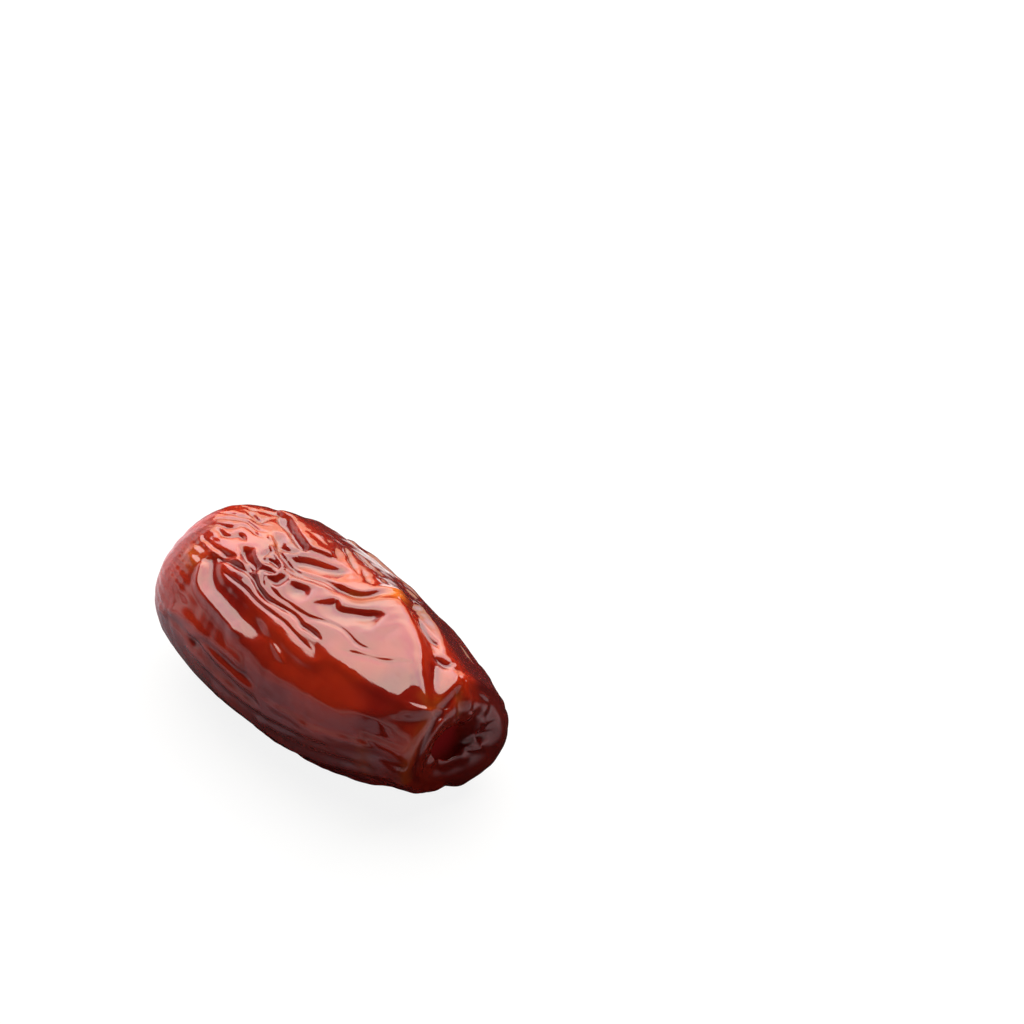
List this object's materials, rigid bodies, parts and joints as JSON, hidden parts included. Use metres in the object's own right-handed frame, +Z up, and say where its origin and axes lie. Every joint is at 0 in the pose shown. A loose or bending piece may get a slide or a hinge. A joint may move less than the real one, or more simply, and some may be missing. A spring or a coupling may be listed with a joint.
{
  "type": "pitted date",
  "caption": "Pitted date lying on its side, with glossy wrinkled skin, and at its blunt stem end the open mouth of the hollow that the stone was taken out of.",
  "frame": {"origin": "middle of the date's footprint, on the surface that it lies on", "axes": "+X along the date from its tip to its stem end, +Z up"},
  "size_m": [0.0426, 0.0224, 0.0194],
  "materials": {
    "date_skin": "glossy, moist, slightly translucent"
  },
  "bodies": {
    "root": {"date": "date_skin"}
  },
  "joints": []
}
